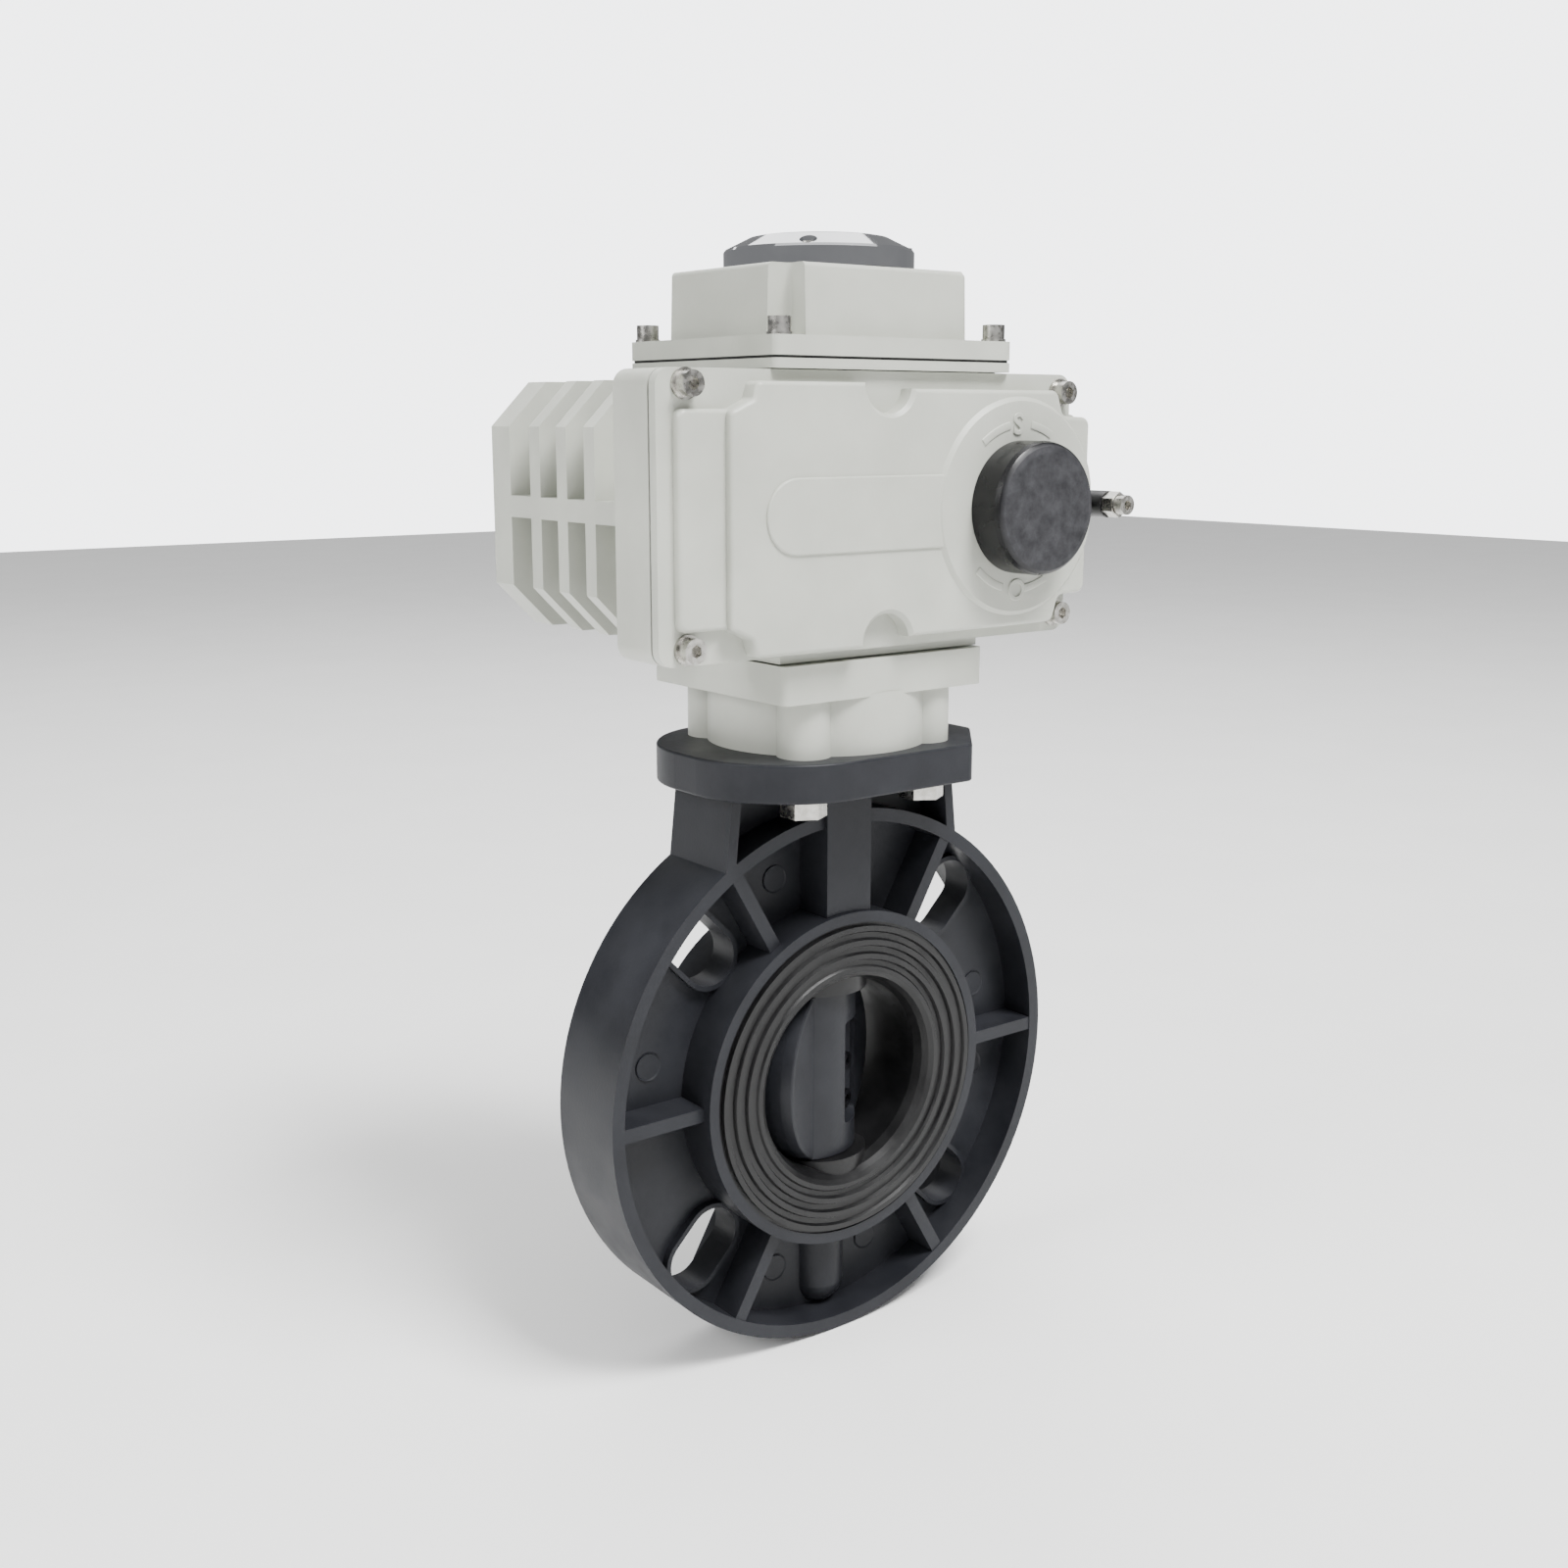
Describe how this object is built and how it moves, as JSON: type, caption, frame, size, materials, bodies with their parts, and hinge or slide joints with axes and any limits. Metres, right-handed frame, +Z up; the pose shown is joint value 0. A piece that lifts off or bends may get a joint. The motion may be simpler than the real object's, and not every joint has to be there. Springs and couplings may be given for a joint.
{
  "type": "motorized valve actuator",
  "caption": "Wafer butterfly valve with a boxy electric quarter-turn actuator: finned motor cover, hand-drive cap, top position window, worm and spur gear train.",
  "frame": {"origin": "centre of the valve bore, where the pipe axis meets the stem axis", "axes": "+Z up along the stem to the actuator; Y along the pipe, -Y towards the gear cover and hand drive; +X towards the hand-drive side"},
  "size_m": [0.1955, 0.137, 0.3677],
  "materials": {
    "pvc": "moulded unplasticised PVC, dark blue-grey, satin",
    "epdm": "EPDM rubber, matt black",
    "stainless": "turned and cold-headed stainless steel",
    "steel": "turned and ground carbon steel",
    "paint": "light warm-grey powder coat on die-cast aluminium, fine texture",
    "bronze": "machined aluminium bronze",
    "acetal": "natural acetal bushes",
    "nylon_black": "black glass-filled nylon",
    "chrome": "bright chrome plate on moulded plastic",
    "window": "smoked polycarbonate",
    "dial": "black moulded dial with raised bar",
    "copper": "varnished copper winding",
    "lamination": "stacked electrical steel",
    "zinc": "zinc-plated sheet steel",
    "terminal": "grey moulded terminal strip",
    "film": "white moulded capacitor case"
  },
  "bodies": {
    "frame": {"valve_body": "pvc", "valve_seat": "epdm", "stem_bushes": "acetal", "flange_bolts": "stainless", "mounting_base": "paint", "base_screws": "steel", "output_bushes": "bronze", "housing": "paint", "front_gasket": "epdm", "front_cover": "paint", "front_cover_screws": "stainless", "idler_pin": "steel", "worm_bearings": "steel", "stator": "lamination", "windings": "copper", "motor_bearings": "steel", "pinion_bracket": "zinc", "motor_cover": "paint", "motor_tie_screws": "steel", "top_gasket": "epdm", "top_cover": "paint", "top_cover_screws": "stainless", "indicator_bezel": "chrome", "indicator_window": "window", "bezel_screws": "stainless", "electrical_plate": "zinc", "limit_switches": "nylon_black", "switch_bracket": "zinc", "terminal_block": "terminal", "terminal_screws": "steel", "capacitor": "film", "cable_gland": "nylon_black", "gland_nut": "stainless", "blanking_screw": "stainless"},
    "drive_line": {"stem": "stainless", "disc": "pvc", "disc_screws": "stainless", "output_sleeve": "steel", "worm_wheel": "bronze", "cam_shaft": "steel", "cams": "nylon_black", "indicator_disc": "dial"},
    "worm_line": {"worm_shaft": "steel", "worm_gear": "steel"},
    "idler": {"idler_gear": "steel"},
    "motor_line": {"motor_shaft": "steel", "rotor": "lamination"},
    "cap": {"manual_cap": "epdm"}
  },
  "joints": [
    {"name": "drive", "type": "hinge", "parent": "frame", "child": "drive_line", "pos_m": [0, 0, 0], "axis": [0, 0, 1], "range_deg": [-28, 62]},
    {"name": "worm", "type": "hinge", "parent": "frame", "child": "worm_line", "pos_m": [0.0476, 0, 0.191], "axis": [0, 1, 0], "range_deg": [-2480, 1120]},
    {"name": "idler_turn", "type": "hinge", "parent": "frame", "child": "idler", "pos_m": [-0.00332, 0, 0.1882], "axis": [0, 1, 0], "range_deg": [-1260, 2790]},
    {"name": "motor_turn", "type": "hinge", "parent": "frame", "child": "motor_line", "pos_m": [-0.0352, 0, 0.191], "axis": [0, 1, 0], "range_deg": [-8370, 3780]},
    {"name": "cap_pull", "type": "slide", "parent": "frame", "child": "cap", "axis": [0, -1, 0], "range_m": [0, 0.03]}
  ],
  "couplings": [
    {"joint": "worm", "follows": "drive", "ratio": -40},
    {"joint": "idler_turn", "follows": "drive", "ratio": 45},
    {"joint": "motor_turn", "follows": "drive", "ratio": -135}
  ]
}
